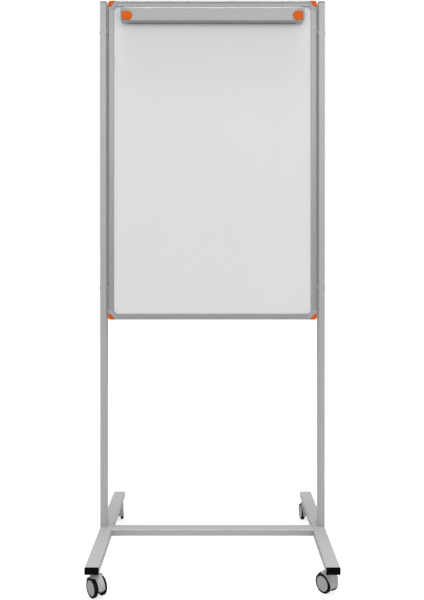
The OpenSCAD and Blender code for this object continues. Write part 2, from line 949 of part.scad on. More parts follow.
foot(-1);  // foot_left
foot(1);  // foot_right
foot_end_caps();
crossbar();
crossbar_end_blocks();
upright(-1);  // upright_left
upright(1);  // upright_right
upright_top_caps();
upright_spigots();
frame_bolts();
access_plugs();
castor_stems();
castor_sockets();
board_surface_sheet();
board_core();
board_backing_sheet();
cross_rail(1);  // frame_rail_top
cross_rail(0);  // frame_rail_bottom
side_rail(-1);  // frame_rail_left
side_rail(1);  // frame_rail_right
frame_corners();
corner_inserts();
frame_screws();
board_spacers();
clamp_hinge_rail();
clamp_hinge_knuckles();
clamp_hinge_pins();
clamp_springs();
clamp_bar();
clamp_lip();
clamp_end_caps();
clamp_grip_strip();
clamp_button(-1);  // clamp_button_left
clamp_button(1);  // clamp_button_right
pad_peg(-1);  // pad_peg_left
pad_peg(1);  // pad_peg_right
for (i = [0 : len(CASTORS) - 1]) {
    at_castor(CASTOR_PLACES[i]) castor_hood();
    at_castor(CASTOR_PLACES[i]) castor_axle();
    at_castor(CASTOR_PLACES[i]) castor_tyre(1);
    at_castor(CASTOR_PLACES[i]) castor_tyre(-1);
    at_castor(CASTOR_PLACES[i]) castor_disc(1);
    at_castor(CASTOR_PLACES[i]) castor_disc(-1);
}
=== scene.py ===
"""Looks of the mobile flipchart easel: its finishes, and finer meshes of its moulded pieces."""
import json
import math

import bmesh
import bpy
from mathutils import Matrix, Vector


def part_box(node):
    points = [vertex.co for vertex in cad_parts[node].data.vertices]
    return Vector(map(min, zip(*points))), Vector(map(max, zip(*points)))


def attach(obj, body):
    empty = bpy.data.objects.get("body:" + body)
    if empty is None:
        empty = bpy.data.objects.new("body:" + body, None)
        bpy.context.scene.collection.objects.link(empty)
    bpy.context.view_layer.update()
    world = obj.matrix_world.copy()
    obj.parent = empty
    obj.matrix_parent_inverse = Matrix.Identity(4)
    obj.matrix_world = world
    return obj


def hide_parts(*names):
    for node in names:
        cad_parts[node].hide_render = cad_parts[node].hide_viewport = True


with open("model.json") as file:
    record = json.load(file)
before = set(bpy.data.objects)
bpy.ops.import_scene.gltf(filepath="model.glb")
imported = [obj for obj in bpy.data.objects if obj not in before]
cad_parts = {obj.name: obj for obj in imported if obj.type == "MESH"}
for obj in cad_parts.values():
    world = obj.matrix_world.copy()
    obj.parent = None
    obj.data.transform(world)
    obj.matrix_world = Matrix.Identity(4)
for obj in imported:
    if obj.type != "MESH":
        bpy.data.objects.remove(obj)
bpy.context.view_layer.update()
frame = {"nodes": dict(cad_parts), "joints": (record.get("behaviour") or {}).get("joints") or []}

MM = 0.001
JOINTS = {joint["name"]: joint for joint in frame["joints"]}
CASTORS = ["castor_front_left", "castor_front_right", "castor_rear_left", "castor_rear_right"]


# ---- camera, light and floor ----

CAMERA_PLACE = (0, -2.283, 1.0014)
CAMERA_LENS = 43.0
CAMERA_SHIFT = (-0.0008, -0.1025)
# Name, place, target, size and power of each lamp, in metres and watts
LAMPS = [
    ("front_softbox", (0.5, -6, 3.1), (0, 0, 1.3), (9, 2.2), 126),
    ("top_light", (0, -0.3, 6), (0, 0, 0), (4, 1.2), 260),
    ("side_light", (2.6, -1.6, 2.2), (0, 0, 1.3), (1.2, 1.6), 5),
]
# Brightness of the white that the camera sees, and of the sky that lights the object
BACKDROP = 1.0
HORIZON_LIGHT = 0.45
CEILING_LIGHT = 0.9
# Brightness that the floor adds to its own shade in the camera's eye, and half its width
FLOOR_GLOW = 0.7
FLOOR_HALF = 60


def add_camera():
    data = bpy.data.cameras.new("camera")
    data.lens = CAMERA_LENS
    data.sensor_width = 36
    data.shift_x, data.shift_y = CAMERA_SHIFT
    camera = bpy.data.objects.new("camera", data)
    camera.location = CAMERA_PLACE
    camera.rotation_euler = (math.radians(90), 0, 0)
    bpy.context.scene.collection.objects.link(camera)
    bpy.context.scene.camera = camera


def add_area_light(name, place, target, size, power):
    data = bpy.data.lights.new(name, "AREA")
    data.shape = "RECTANGLE"
    data.size, data.size_y = size
    data.energy = power
    lamp = bpy.data.objects.new(name, data)
    lamp.location = place
    lamp.rotation_euler = (Vector(target) - Vector(place)).to_track_quat("-Z", "Y").to_euler()
    bpy.context.scene.collection.objects.link(lamp)


def add_lights():
    for lamp in LAMPS:
        add_area_light(*lamp)
    bpy.context.scene.world = studio_world()
    bpy.context.scene.view_settings.view_transform = "Standard"


def studio_world():
    """A white backdrop, and for the soft light a dim horizon that brightens towards the ceiling."""
    world = bpy.data.worlds.new("studio")
    world.use_nodes = True
    tree = world.node_tree
    direction = tree.nodes.new("ShaderNodeTexCoord").outputs["Generated"]
    parts = tree.nodes.new("ShaderNodeSeparateXYZ")
    tree.links.new(direction, parts.inputs["Vector"])
    rise = tree.nodes.new("ShaderNodeMath")
    rise.operation = "POWER"
    rise.inputs[1].default_value = 2
    tree.links.new(parts.outputs["Z"], rise.inputs[0])
    fade = tree.nodes.new("ShaderNodeMapRange")
    fade.inputs["To Min"].default_value = HORIZON_LIGHT
    fade.inputs["To Max"].default_value = CEILING_LIGHT
    tree.links.new(rise.outputs["Value"], fade.inputs["Value"])
    pick = tree.nodes.new("ShaderNodeMix")
    pick.inputs["B"].default_value = BACKDROP
    tree.links.new(tree.nodes.new("ShaderNodeLightPath").outputs["Is Camera Ray"], pick.inputs["Factor"])
    tree.links.new(fade.outputs["Result"], pick.inputs["A"])
    background = tree.nodes["Background"]
    background.inputs["Color"].default_value = (1, 1, 1, 1)
    tree.links.new(pick.outputs["Result"], background.inputs["Strength"])
    return world


def add_floor(finish):
    shape = bmesh.new()
    bmesh.ops.create_grid(shape, x_segments=4, y_segments=4, size=FLOOR_HALF)
    floor = bpy.data.objects.new("studio_floor", make_mesh("studio_floor", shape))
    floor.data.materials.append(finish)
    bpy.context.scene.collection.objects.link(floor)


# ---- finishes ----

class Finish:
    """A material on the Principled shader, with its patterns laid out in the row frame's metres."""

    def __init__(self, name, colour, roughness, metallic=0.0, specular=0.5):
        self.material = bpy.data.materials.new(name)
        self.material.use_nodes = True
        self.tree = self.material.node_tree
        self.shader = self.tree.nodes["Principled BSDF"]
        self.shader.inputs["Base Color"].default_value = (*colour, 1)
        self.shader.inputs["Roughness"].default_value = roughness
        self.shader.inputs["Metallic"].default_value = metallic
        self.shader.inputs["Specular IOR Level"].default_value = specular
        self.coordinates = self.tree.nodes.new("ShaderNodeTexCoord").outputs["Object"]

    def stretched(self, stretch):
        mapping = self.tree.nodes.new("ShaderNodeMapping")
        mapping.inputs["Scale"].default_value = stretch
        self.tree.links.new(self.coordinates, mapping.inputs["Vector"])
        return mapping.outputs["Vector"]

    def noise(self, size, detail=2.0, stretch=(1, 1, 1)):
        """Noise whose features are about size metres wide, more along an axis whose stretch is below 1."""
        texture = self.tree.nodes.new("ShaderNodeTexNoise")
        texture.inputs["Scale"].default_value = 1 / size
        texture.inputs["Detail"].default_value = detail
        self.tree.links.new(self.stretched(stretch), texture.inputs["Vector"])
        return texture.outputs["Fac"]

    def cells(self, size):
        texture = self.tree.nodes.new("ShaderNodeTexVoronoi")
        texture.inputs["Scale"].default_value = 1 / size
        self.tree.links.new(self.stretched((1, 1, 1)), texture.inputs["Vector"])
        return texture.outputs["Color"]

    def spread(self, pattern, low, high, contrast=(0.35, 0.65)):
        """The pattern's middle stretched to run from low to high."""
        spread = self.tree.nodes.new("ShaderNodeMapRange")
        spread.inputs["From Min"].default_value, spread.inputs["From Max"].default_value = contrast
        spread.inputs["To Min"].default_value = low
        spread.inputs["To Max"].default_value = high
        self.tree.links.new(pattern, spread.inputs["Value"])
        return spread.outputs["Result"]

    def vary_colour(self, pattern, low, high, contrast=(0.35, 0.65)):
        ramp = self.tree.nodes.new("ShaderNodeValToRGB")
        ramp.color_ramp.elements[0].position, ramp.color_ramp.elements[1].position = contrast
        ramp.color_ramp.elements[0].color = (*low, 1)
        ramp.color_ramp.elements[1].color = (*high, 1)
        self.tree.links.new(pattern, ramp.inputs["Fac"])
        self.tree.links.new(ramp.outputs["Color"], self.shader.inputs["Base Color"])

    def vary_roughness(self, pattern, low, high, contrast=(0.35, 0.65)):
        self.tree.links.new(self.spread(pattern, low, high, contrast), self.shader.inputs["Roughness"])

    def add_bump(self, pattern, depth, strength=1.0):
        bump = self.tree.nodes.new("ShaderNodeBump")
        bump.inputs["Distance"].default_value = depth
        bump.inputs["Strength"].default_value = strength
        self.tree.links.new(pattern, bump.inputs["Height"])
        last = self.shader.inputs["Normal"].links
        if last:
            self.tree.links.new(last[0].from_socket, bump.inputs["Normal"])
        self.tree.links.new(bump.outputs["Normal"], self.shader.inputs["Normal"])


def shade(colour, factor):
    return tuple(min(1.0, channel * factor) for channel in colour)


def powder_coat():
    """Silver-grey satin powder coat: faint orange peel, with a fine metallic fleck."""
    silver = (0.42, 0.423, 0.43)
    finish = Finish("powder_coat", silver, 0.42, metallic=0.25)
    finish.vary_colour(finish.noise(0.4 * MM), shade(silver, 0.95), shade(silver, 1.05))
    finish.vary_roughness(finish.noise(60 * MM, detail=3), 0.38, 0.46)
    finish.add_bump(finish.noise(1.1 * MM), 0.02 * MM)
    return finish.material


def anodised(name, along):
    """Satin anodised aluminium with fine drawn lines along one axis."""
    metal = (0.345, 0.35, 0.357)
    lines = tuple(0.008 if axis == along else 1 for axis in "xyz")
    finish = Finish(name, metal, 0.4, metallic=0.55)
    grain = finish.noise(0.5 * MM, detail=3, stretch=lines)
    finish.vary_colour(grain, shade(metal, 0.94), shade(metal, 1.06))
    finish.vary_roughness(grain, 0.33, 0.46)
    finish.add_bump(grain, 0.012 * MM)
    return finish.material


def white_enamel():
    """Smooth writing surface with a faint haze left by wiping."""
    white = (0.73, 0.735, 0.747)
    finish = Finish("white_enamel", white, 0.4)
    finish.vary_colour(finish.noise(160 * MM, detail=3), shade(white, 0.995), shade(white, 1.005))
    finish.vary_roughness(finish.noise(90 * MM, detail=2, stretch=(0.35, 1, 1)), 0.38, 0.41)
    finish.add_bump(finish.noise(0.5 * MM), 0.002 * MM)
    return finish.material


def moulded_plastic(name, colour, roughness, grain=0.35, specular=0.4):
    """Moulded plastic with a fine etched grain, a little uneven in gloss."""
    finish = Finish(name, colour, roughness, specular=specular)
    finish.vary_colour(finish.noise(6 * MM, detail=4), shade(colour, 0.95), shade(colour, 1.05))
    finish.vary_roughness(finish.noise(14 * MM, detail=3), roughness - 0.05, roughness + 0.06)
    finish.add_bump(finish.noise(grain * MM), 0.02 * MM)
    return finish.material


def rubber(name, colour):
    """Matt rubber, greyer where dust has settled in it."""
    finish = Finish(name, colour, 0.75, specular=0.06)
    finish.vary_colour(finish.noise(5 * MM, detail=5), shade(colour, 0.8), shade(colour, 1.7))
    finish.vary_roughness(finish.noise(3 * MM), 0.68, 0.85)
    finish.add_bump(finish.noise(0.6 * MM, detail=4), 0.04 * MM)
    return finish.material


def zinc_plate():
    """Bright zinc plate, faintly mottled."""
    zinc = (0.62, 0.63, 0.66)
    finish = Finish("zinc_plate", zinc, 0.3, metallic=1.0)
    finish.vary_colour(finish.noise(3 * MM, detail=3), shade(zinc, 0.9), (0.68, 0.67, 0.64))
    finish.vary_roughness(finish.noise(2 * MM), 0.24, 0.4)
    finish.add_bump(finish.noise(0.3 * MM), 0.01 * MM)
    return finish.material


def galvanised_sheet():
    """Galvanised steel with its crystal spangle."""
    steel = (0.46, 0.48, 0.50)
    finish = Finish("galvanised_sheet", steel, 0.4, metallic=0.7)
    spangle = finish.cells(11 * MM)
    finish.vary_colour(spangle, shade(steel, 0.88), shade(steel, 1.12), contrast=(0, 1))
    finish.vary_roughness(spangle, 0.32, 0.5, contrast=(0, 1))
    finish.add_bump(finish.noise(1.5 * MM), 0.01 * MM)
    return finish.material


def fibre_board():
    brown = (0.36, 0.25, 0.15)
    finish = Finish("fibre_board", brown, 0.85)
    fibres = finish.noise(1.2 * MM, detail=5, stretch=(0.4, 1, 0.4))
    finish.vary_colour(fibres, shade(brown, 0.75), shade(brown, 1.3))
    finish.add_bump(finish.noise(0.8 * MM, detail=4), 0.1 * MM)
    return finish.material


def floor_finish():
    """Pale matt floor that looks as white as the backdrop but throws less light back up than it would."""
    pale = (0.6, 0.6, 0.6)
    finish = Finish("studio_floor", pale, 0.7, specular=0.2)
    finish.vary_colour(finish.noise(0.6, detail=2), shade(pale, 0.99), shade(pale, 1.01))
    glow = finish.tree.nodes.new("ShaderNodeMath")
    glow.operation = "MULTIPLY"
    glow.inputs[1].default_value = FLOOR_GLOW
    seen = finish.tree.nodes.new("ShaderNodeLightPath").outputs["Is Camera Ray"]
    finish.tree.links.new(seen, glow.inputs[0])
    finish.shader.inputs["Emission Color"].default_value = (1, 1, 1, 1)
    finish.tree.links.new(glow.outputs["Value"], finish.shader.inputs["Emission Strength"])
    return finish.material


POWDER_COAT = powder_coat()
ANODISED_X = anodised("anodised_along_x", "x")
ANODISED_Z = anodised("anodised_along_z", "z")
WHITE_ENAMEL = white_enamel()
BLACK_PLASTIC = moulded_plastic("black_plastic", (0.0025, 0.0025, 0.003), 0.5, specular=0.03)
GREY_PLASTIC = moulded_plastic("grey_plastic", (0.34, 0.36, 0.385), 0.42)
INNER_PLASTIC = moulded_plastic("inner_plastic", (0.3, 0.3, 0.31), 0.5)
ORANGE_PLASTIC = moulded_plastic("orange_plastic", (0.66, 0.12, 0.004), 0.4, specular=0.15)
CASTOR_PLASTIC = moulded_plastic("castor_plastic", (0.36, 0.363, 0.37), 0.45, specular=0.3)
TYRE_RUBBER = rubber("tyre_rubber", (0.006, 0.006, 0.0065))
GRIP_RUBBER = rubber("grip_rubber", (0.02, 0.02, 0.02))
ZINC_PLATE = zinc_plate()
GALVANISED = galvanised_sheet()
FIBRE_BOARD = fibre_board()

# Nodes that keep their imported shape, by finish, with the width in millimetres of their softened edges
KEPT_NODES = {
    POWDER_COAT: (0, ["foot_left", "foot_right", "crossbar", "upright_left", "upright_right"]),
    ANODISED_X: (0.4, [
        "frame_rail_top", "frame_rail_bottom", "clamp_hinge_rail", "clamp_hinge_knuckles", "clamp_bar",
        "clamp_lip",
    ]),
    ANODISED_Z: (0.4, ["frame_rail_left", "frame_rail_right"]),
    WHITE_ENAMEL: (0, ["board_surface_sheet"]),
    GALVANISED: (0, ["board_backing_sheet"]),
    FIBRE_BOARD: (0, ["board_core"]),
    INNER_PLASTIC: (0, ["crossbar_end_blocks", "upright_spigots"]),
    GREY_PLASTIC: (0.8, ["clamp_end_caps", "board_spacers"]),
    BLACK_PLASTIC: (0.5, ["pad_peg_left", "pad_peg_right"]),
    GRIP_RUBBER: (0.5, ["clamp_grip_strip"]),
    ZINC_PLATE: (0.2, [
        "frame_bolts", "castor_stems", "castor_sockets", "clamp_hinge_pins",
        *(castor + "_axle" for castor in CASTORS),
    ]),
}


def finish_kept_nodes():
    for finish, (soften, names) in KEPT_NODES.items():
        for name in names:
            node = frame["nodes"][name]
            for slot in node.material_slots:
                slot.material = finish
            if soften:
                soften_edges(node, soften * MM)


def soften_edges(node, width):
    """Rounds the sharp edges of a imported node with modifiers, which leave its own mesh as it is."""
    weld = node.modifiers.new("weld", "WELD")
    weld.merge_threshold = 0.005 * MM
    flat = node.modifiers.new("flat_faces", "DECIMATE")
    flat.decimate_type = "DISSOLVE"
    flat.angle_limit = math.radians(0.5)
    bevel = node.modifiers.new("soft_edges", "BEVEL")
    bevel.width = width
    bevel.segments = 3
    bevel.limit_method = "ANGLE"
    bevel.angle_limit = math.radians(40)
    node.modifiers.new("even_shading", "WEIGHTED_NORMAL")


# ---- shape tools: outlines are lists of (u, v) points that run anticlockwise ----

def arc(centre, radius, start, end, steps=8):
    """Points of an arc, both ends included, with its angles in degrees."""
    angles = [math.radians(start + (end - start) * step / steps) for step in range(steps + 1)]
    return [(centre[0] + radius * math.cos(a), centre[1] + radius * math.sin(a)) for a in angles]


def circle(radius, steps=48):
    return arc((0, 0), radius, 0, 360, steps)[:-1]


def rounded_rectangle(width, height, radius):
    points = []
    for quarter, (u, v) in enumerate([(1, 1), (-1, 1), (-1, -1), (1, -1)]):
        centre = (u * (width / 2 - radius), v * (height / 2 - radius))
        points += arc(centre, radius, 90 * quarter, 90 * quarter + 90, 6)
    return points


def inset(outline, distance):
    """The outline moved inwards by distance, with mitred corners."""
    moved = []
    for before, point, after in zip(outline[-1:] + outline[:-1], outline, outline[1:] + outline[:1]):
        first = Vector((point[0] - before[0], point[1] - before[1])).normalized()
        second = Vector((after[0] - point[0], after[1] - point[1])).normalized()
        inward = Vector((-first.y - second.y, first.x + second.x))
        inward *= distance / (1 + first.dot(second))
        moved.append((point[0] + inward.x, point[1] + inward.y))
    return moved


def above(floor, outline):
    """The outline with what lies below floor flattened on to it."""
    return [(u, max(v, floor)) for u, v in outline]


def skin(shape, rings, closed=False):
    """Joins equal rings of points into a solid with two end faces, or into a closed tube."""
    rings = [[shape.verts.new(point) for point in ring] for ring in rings]
    pairs = list(zip(rings, rings[1:]))
    if closed:
        pairs.append((rings[-1], rings[0]))
    else:
        shape.faces.new(reversed(rings[0]))
        shape.faces.new(rings[-1])
    for low, high in pairs:
        for a, b, c, d in zip(low, low[1:] + low[:1], high[1:] + high[:1], high):
            shape.faces.new((a, b, c, d))


def stack(shape, outline, levels, place):
    """A solid through the outline at each (inset, height) level."""
    rings = [[place @ Vector((u, v, height)) for u, v in inset(outline, away)] for away, height in levels]
    skin(shape, rings)


def lathe(shape, profile, place, closed=False, steps=64):
    """A turned solid about the place's z axis through (radius, height) points."""
    rings = [[place @ Vector((u, v, height)) for u, v in circle(radius, steps)] for radius, height in profile]
    skin(shape, rings, closed)


def round_edge(height, radius, outwards=1, steps=4):
    """Levels that round the edge of an end face; outwards is 1 for a top face and -1 for a bottom one."""
    levels = []
    for step in range(steps + 1):
        turn = math.radians(90 * step / steps)
        levels.append((radius * (1 - math.cos(turn)), height - outwards * radius * (1 - math.sin(turn))))
    return levels[::outwards]


def slab_levels(low, high, radius):
    return round_edge(low, radius, outwards=-1) + round_edge(high, radius)


def make_mesh(name, shape, sharp=35):
    bmesh.ops.recalc_face_normals(shape, faces=shape.faces)
    mesh = bpy.data.meshes.new(name)
    shape.to_mesh(mesh)
    shape.free()
    mesh.shade_smooth()
    mesh.set_sharp_from_angle(angle=math.radians(sharp))
    return mesh


def add_piece(name, mesh, finish, body, replaces=()):
    piece = bpy.data.objects.new(name, mesh)
    bpy.context.scene.collection.objects.link(piece)
    mesh.materials.append(finish)
    even = piece.modifiers.new("even_shading", "WEIGHTED_NORMAL")
    even.keep_sharp = True
    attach(piece, body)
    if replaces:
        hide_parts(*replaces)
    return piece


def placed(mesh, place):
    """A copy of the mesh in its place."""
    copy = mesh.copy()
    copy.transform(place)
    return copy


def evaluated_mesh(piece):
    """A plain mesh of the piece with its modifiers applied."""
    graph = bpy.context.evaluated_depsgraph_get()
    return bpy.data.meshes.new_from_object(piece.evaluated_get(graph))


def facing(direction, place, up=(0, 0, 1)):
    """Matrix whose z axis points in direction and whose y axis points up."""
    z_axis = Vector(direction).normalized()
    x_axis = Vector(up).cross(z_axis).normalized()
    y_axis = z_axis.cross(x_axis)
    turn = Matrix((x_axis, y_axis, z_axis)).transposed().to_4x4()
    return Matrix.Translation(place) @ turn


# ---- tube end caps ----

CAP_EDGE_R = 2.5 * MM
CAP_BORDER = 1.9 * MM
CAP_RECESS = 0.9 * MM
CAP_PLUG_INSET = 2.2 * MM
CAP_PLUG_DEPTH = 18 * MM


def add_tube_cap(shape, width, height, thick, place):
    """A cap with a raised border round a recessed face, and the plug that holds it in the tube."""
    levels = [(CAP_PLUG_INSET, -CAP_PLUG_DEPTH), (CAP_PLUG_INSET, 0)]
    levels += [(0, 0)] + round_edge(thick, 0.7 * MM)
    levels += [
        (CAP_BORDER - 0.3 * MM, thick),
        (CAP_BORDER, thick - 0.2 * MM),
        (CAP_BORDER + 0.2 * MM, thick - CAP_RECESS + 0.2 * MM),
        (CAP_BORDER + 0.5 * MM, thick - CAP_RECESS),
    ]
    stack(shape, rounded_rectangle(width, height, CAP_EDGE_R), levels, place)


def add_tube_caps():
    shape = bmesh.new()
    caps_low, caps_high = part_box("foot_end_caps")
    for name in ("foot_left", "foot_right"):
        low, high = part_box(name)
        centre = (low + high) / 2
        size = high - low
        for end, tube_end, cap_end in ((-1, low.y, caps_low.y), (1, high.y, caps_high.y)):
            place = facing((0, end, 0), (centre.x, tube_end, centre.z))
            add_tube_cap(shape, size.x, size.z, abs(cap_end - tube_end), place)
    covers = make_mesh("foot_end_covers", shape)
    add_piece("foot_end_covers", covers, BLACK_PLASTIC, "root", ["foot_end_caps"])
    shape = bmesh.new()
    cap_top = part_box("upright_top_caps")[1].z
    for name in ("upright_left", "upright_right"):
        low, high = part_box(name)
        centre = (low + high) / 2
        size = high - low
        place = facing((0, 0, 1), (centre.x, centre.y, high.z), up=(0, 1, 0))
        add_tube_cap(shape, size.x, size.y, cap_top - high.z, place)
    covers = make_mesh("upright_top_covers", shape)
    add_piece("upright_top_covers", covers, BLACK_PLASTIC, "root", ["upright_top_caps"])


# ---- frame corners and their inserts ----

CORNER_R = 8.5 * MM
CORNER_FILLET_R = 14 * MM
CORNER_FILLET_AT = 33 * MM
LEAF_R = 33.5 * MM
LEAF_OFFSET = 10 * MM
LEAF_DEPTH = 2 * MM
LEAF_GAP = 0.12 * MM
LEAF_POCKET_INSET = 0.1 * MM
CORNER_EDGE_R = 0.9 * MM


def corner_outline(leg):
    """Corner piece with u and v running inwards from its outer corner."""
    reach = math.degrees(math.acos((CORNER_FILLET_AT - leg) / CORNER_FILLET_R))
    fillet = arc((CORNER_FILLET_AT, CORNER_FILLET_AT), CORNER_FILLET_R, 180 + reach, 270 - reach, 12)
    outer = arc((CORNER_R, CORNER_R), CORNER_R, 180, 270, 12)
    return outer + [(leg, 0)] + fillet + [(0, leg)]


def leaf_outline():
    """Leaf between the corner's rounded tip and a wider arc about a point outside it."""
    centre = (-LEAF_OFFSET, -LEAF_OFFSET)
    reach = math.degrees(math.asin(LEAF_OFFSET / LEAF_R))
    outer = arc((CORNER_R, CORNER_R), CORNER_R, 180, 270, 12)
    return outer + arc(centre, LEAF_R, reach, 90 - reach, 20)


def corner_places():
    """Matrix of each corner: z forwards, u and v inwards along the two edges."""
    low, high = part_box("frame_corners")
    for x, across in ((low.x, 1), (high.x, -1)):
        for z, along in ((low.z, 1), (high.z, -1)):
            turn = Matrix(((across, 0, 0), (0, 0, -1), (0, along, 0))).to_4x4()
            yield Matrix.Translation((x, low.y, z)) @ turn


def add_corners():
    low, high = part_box("frame_corners")
    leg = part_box("frame_rail_top")[0].x - low.x
    depth = high.y - low.y
    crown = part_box("corner_inserts")[0].y - low.y
    pocket_levels = [(LEAF_POCKET_INSET, -LEAF_DEPTH), (LEAF_POCKET_INSET, LEAF_DEPTH)]
    leaf_levels = [
        (LEAF_GAP + LEAF_POCKET_INSET, -LEAF_DEPTH),
        (LEAF_GAP + LEAF_POCKET_INSET, -0.15 * MM),
        (LEAF_GAP + 0.35 * MM, 0),
        (LEAF_GAP + 0.9 * MM, -crown * 0.5),
        (LEAF_GAP + 2 * MM, -crown),
    ]
    shape = bmesh.new()
    pocket = bmesh.new()
    leaves = bmesh.new()
    for place in corner_places():
        stack(shape, corner_outline(leg), slab_levels(-depth, 0, CORNER_EDGE_R), place)
        stack(pocket, leaf_outline(), pocket_levels, place)
        stack(leaves, leaf_outline(), leaf_levels, place)
    mesh = make_mesh("corner_pieces", shape)
    corners = add_piece("corner_pieces", mesh, GREY_PLASTIC, "root", ["frame_corners"])
    carve(corners, make_mesh("corner_pockets", pocket))
    mesh = make_mesh("corner_leaves", leaves)
    add_piece("corner_leaves", mesh, ORANGE_PLASTIC, "root", ["corner_inserts"])


def carve(piece, cutter_mesh):
    """Cuts the cutter's shape out of the piece for good."""
    cutter = bpy.data.objects.new("cutter", cutter_mesh)
    bpy.context.scene.collection.objects.link(cutter)
    cut = piece.modifiers.new("cut", "BOOLEAN")
    cut.object = cutter
    cut.solver = "EXACT"
    piece.modifiers.move(len(piece.modifiers) - 1, 0)
    even = piece.modifiers["even_shading"]
    even.show_viewport = False
    mesh = evaluated_mesh(piece)
    piece.modifiers.remove(cut)
    even.show_viewport = True
    bpy.data.objects.remove(cutter)
    mesh.set_sharp_from_angle(angle=math.radians(35))
    piece.data = mesh


# ---- clamp buttons ----

BUTTON_R = 15 * MM
BUTTON_RIM = 1 * MM
BUTTON_RIM_T = 1.5 * MM
BUTTON_EDGE_R = 1.1 * MM
BUTTON_FLOOR_GAP = 0.1 * MM
BUTTON_TAIL_SHARE = 0.925
BUTTON_TAIL_CORNER = 1.5 * MM
BUTTON_BODY_T = 4.1 * MM
BUTTON_STEM_R = 4 * MM
BUTTON_STEM_CHAMFER = 0.6 * MM
BUTTON_STEM_INSET = 6.7 * MM
CLAMP_WALL = 2.5 * MM


def button_outline(side, tail_end):
    """A round end about (0, 0) with a straight tail out to tail_end, to the left or right."""
    half = BUTTON_R * BUTTON_TAIL_SHARE
    meet = math.degrees(math.asin(BUTTON_TAIL_SHARE))
    corner = BUTTON_TAIL_CORNER
    outline = arc((0, 0), BUTTON_R, meet, 360 - meet, 40)
    outline += arc((tail_end - corner, -half + corner), corner, 270, 360, 4)
    outline += arc((tail_end - corner, half - corner), corner, 0, 90, 4)
    return outline if side > 0 else [(-u, v) for u, v in reversed(outline)]


def add_button(side, name):
    """A release button whose round end sits on the seam between the clamp bar and its end cap."""
    node = "clamp_" + name
    low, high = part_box(node)
    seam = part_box("clamp_bar")[1].x
    height = high.z - BUTTON_R - BUTTON_RIM
    tail_end = max(abs(low.x), abs(high.x)) - BUTTON_RIM - seam
    place = facing((0, -1, 0), (side * seam, low.y, height))
    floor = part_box("clamp_bar")[0].z + CLAMP_WALL - height + BUTTON_FLOOR_GAP
    outline = above(floor, button_outline(side, tail_end))
    shape = bmesh.new()
    levels = [(0, -BUTTON_BODY_T)] + round_edge(0, BUTTON_EDGE_R)
    stack(shape, outline, levels, place)
    rim = above(floor, inset(outline, -BUTTON_RIM))
    stack(shape, rim, [(0, -BUTTON_BODY_T - BUTTON_RIM_T), (0, -BUTTON_BODY_T)], place)
    stem_place = place @ Matrix.Translation((side * BUTTON_STEM_INSET, 0, 0))
    stem_end = low.y - high.y
    lathe(shape, [
        (BUTTON_STEM_R - BUTTON_STEM_CHAMFER, stem_end),
        (BUTTON_STEM_R, stem_end + BUTTON_STEM_CHAMFER),
        (BUTTON_STEM_R, -BUTTON_BODY_T),
    ], stem_place, steps=32)
    mesh = make_mesh(name + "_cap", shape)
    add_piece(name + "_cap", mesh, ORANGE_PLASTIC, name, [node])


# ---- clamp springs ----

SPRING_WIRE_R = 0.6 * MM
SPRING_TURNS = 3
SPRING_LEG = 7 * MM


def wire_mesh(name, points, radius):
    """A round wire along the points, as a mesh."""
    curve = bpy.data.curves.new(name, "CURVE")
    curve.dimensions = "3D"
    curve.bevel_depth = radius
    curve.bevel_resolution = 3
    curve.use_fill_caps = True
    spline = curve.splines.new("POLY")
    spline.points.add(len(points) - 1)
    for vertex, point in zip(spline.points, points):
        vertex.co = (*point, 1)
    wire = bpy.data.objects.new(name, curve)
    bpy.context.scene.collection.objects.link(wire)
    mesh = evaluated_mesh(wire)
    bpy.data.objects.remove(wire)
    mesh.name = name
    return mesh


def spring_points(side, axis, width, mean_r):
    """Helix about the hinge axis, with a leg down the hinge rail and a short hooked end."""
    steps = 16 * SPRING_TURNS
    pitch = 2 * SPRING_WIRE_R
    outer = axis.x + side * width
    turns = []
    for step in range(steps + 1):
        angle = 2 * math.pi * step / 16
        along = outer - side * (SPRING_WIRE_R + (width - pitch) * (1 - step / steps))
        turns.append(Vector((along, axis.y + mean_r * math.cos(angle), axis.z + mean_r * math.sin(angle))))
    leg = turns[0] + Vector((0, 0, -SPRING_LEG))
    hook = turns[-1] + Vector((0, 0, 0.8 * mean_r))
    return [leg] + turns + [hook]


def add_springs():
    low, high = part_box("clamp_springs")
    axis = Vector(JOINTS["clamp_hinge"]["pos_m"])
    width = 2 * SPRING_WIRE_R * SPRING_TURNS
    mean_r = (high.z - low.z) / 2 - SPRING_WIRE_R
    for side, name in ((-1, "clamp_spring_left"), (1, "clamp_spring_right")):
        start = Vector((side * (high.x - width), axis.y, axis.z))
        mesh = wire_mesh(name, spring_points(side, start, width, mean_r), SPRING_WIRE_R)
        replaced = ["clamp_springs"] if side < 0 else []
        add_piece(name, mesh, ZINC_PLATE, "root", replaced)


# ---- plugs and screws ----

PLUG_RIM_R = 7.4 * MM
PLUG_RIM_H = 0.8 * MM
PLUG_STEM_R = 6.4 * MM
PLUG_STEM_H = 2 * MM
SCREW_HEAD_R = 3.5 * MM
SCREW_HEAD_H = 2 * MM
CROSS_ARM = 1.75 * MM
CROSS_HALF = 0.4 * MM
CROSS_DEPTH = 1.1 * MM


def solids(node):
    """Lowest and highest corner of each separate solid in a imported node."""
    shape = bmesh.new()
    shape.from_mesh(frame["nodes"][node].data)
    bmesh.ops.remove_doubles(shape, verts=shape.verts, dist=0.002 * MM)
    waiting = set(shape.verts)
    boxes = []
    while waiting:
        front = [waiting.pop()]
        points = []
        while front:
            vertex = front.pop()
            points.append(vertex.co.copy())
            near = {edge.other_vert(vertex) for edge in vertex.link_edges} & waiting
            waiting -= near
            front += near
        low = Vector(min(point[axis] for point in points) for axis in range(3))
        high = Vector(max(point[axis] for point in points) for axis in range(3))
        boxes.append((low, high))
    shape.free()
    return sorted(boxes, key=lambda box: tuple(box[0]))


